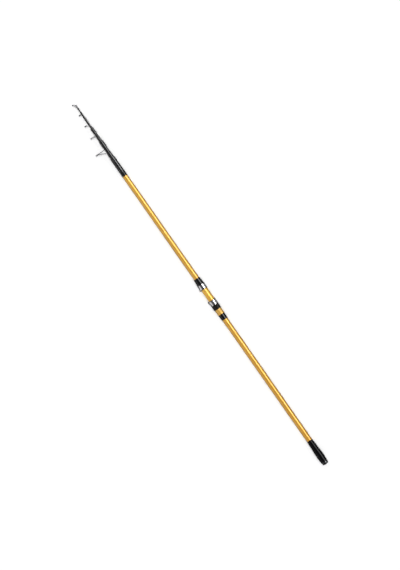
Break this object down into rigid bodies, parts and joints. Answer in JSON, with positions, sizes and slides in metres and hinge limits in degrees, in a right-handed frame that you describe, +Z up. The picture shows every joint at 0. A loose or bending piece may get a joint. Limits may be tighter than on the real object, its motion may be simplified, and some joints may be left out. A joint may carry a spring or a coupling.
{
  "type": "telescopic fishing rod",
  "caption": "Telescopic surf fishing rod, collapsed: nested tapered sections with wire line guides, a screw-locked reel seat with hoods, and a rubber boot with a screw plug at the butt.",
  "frame": {"origin": "centre of the butt plug's flat end, on the rod axis", "axes": "+X along the rod towards the tip, +Y towards the line guides and the reel foot, +Z up from the floor that the rod lies on"},
  "size_m": [1.4201, 0.0543, 0.0256],
  "materials": {
    "gold_lacquer": "clear-coated gold lacquer on a composite tube",
    "gold_seat": "gold lacquer on a moulded seat body",
    "black_lacquer": "gloss black lacquer over composite and thread",
    "boot_rubber": "satin moulded rubber",
    "black_plastic": "satin moulded plastic",
    "hood_chrome": "polished stainless steel",
    "insert_alloy": "turned",
    "guide_steel": "smoked stainless wire",
    "ring_ceramic": "polished dark ceramic"
  },
  "bodies": {
    "butt": {"butt_blank": "gold_lacquer", "mouth_wrap": "black_lacquer", "butt_boot": "boot_rubber", "butt_insert": "insert_alloy", "seat_body": "gold_seat", "seat_tail_ring": "black_plastic", "fixed_hood": "hood_chrome", "fixed_hood_cone": "black_plastic"},
    "plug_seal": {"plug_seal": "boot_rubber"},
    "butt_plug": {"butt_plug": "black_plastic"},
    "moving_hood": {"moving_hood": "hood_chrome"},
    "lock_nut": {"lock_nut": "black_plastic"},
    "section_2": {"section_2_blank": "black_lacquer", "section_2_front_wrap": "black_lacquer", "section_2_rear_wrap": "black_lacquer", "guide_2_frame": "guide_steel", "guide_2_ring": "ring_ceramic"},
    "section_3": {"section_3_blank": "black_lacquer", "section_3_front_wrap": "black_lacquer", "section_3_rear_wrap": "black_lacquer", "guide_3_frame": "guide_steel", "guide_3_ring": "ring_ceramic"},
    "section_4": {"section_4_blank": "black_lacquer", "section_4_front_wrap": "black_lacquer", "section_4_rear_wrap": "black_lacquer", "guide_4_frame": "guide_steel", "guide_4_ring": "ring_ceramic"},
    "tip": {"tip_blank": "black_lacquer", "tip_top_frame": "guide_steel", "tip_top_ring": "ring_ceramic"},
    "floating_guide": {"floating_guide_frame": "guide_steel", "floating_guide_ring": "ring_ceramic"}
  },
  "joints": [
    {"name": "section_2_slide", "type": "slide", "parent": "butt", "child": "section_2", "axis": [1, 0, 0], "range_m": [0, 0.895]},
    {"name": "section_3_slide", "type": "slide", "parent": "section_2", "child": "section_3", "axis": [1, 0, 0], "range_m": [0, 0.895]},
    {"name": "section_4_slide", "type": "slide", "parent": "section_3", "child": "section_4", "axis": [1, 0, 0], "range_m": [0, 0.895]},
    {"name": "tip_slide", "type": "slide", "parent": "section_4", "child": "tip", "axis": [1, 0, 0], "range_m": [0, 0.895]},
    {"name": "floating_guide_slide", "type": "slide", "parent": "tip", "child": "floating_guide", "axis": [1, 0, 0], "range_m": [-0.45, 0]},
    {"name": "hood_slide", "type": "slide", "parent": "butt", "child": "moving_hood", "axis": [1, 0, 0], "range_m": [-0.0181, 0.0101]},
    {"name": "nut_turn", "type": "hinge", "parent": "moving_hood", "child": "lock_nut", "pos_m": [0.618, 0, 0], "axis": [1, 0, 0], "range_deg": [-3240, 1800]},
    {"name": "plug_draw", "type": "slide", "parent": "butt", "child": "plug_seal", "axis": [-1, 0, 0], "range_m": [0, 0.0151]},
    {"name": "plug_turn", "type": "hinge", "parent": "plug_seal", "child": "butt_plug", "pos_m": [0.005, 0, 0], "axis": [-1, 0, 0], "range_deg": [0, 3600]}
  ],
  "couplings": [
    {"joint": "floating_guide_slide", "follows": "tip_slide", "ratio": -0.5},
    {"joint": "hood_slide", "follows": "nut_turn", "m_per_rad": 0.00031831},
    {"joint": "plug_draw", "follows": "plug_turn", "m_per_rad": 0.00023873}
  ]
}
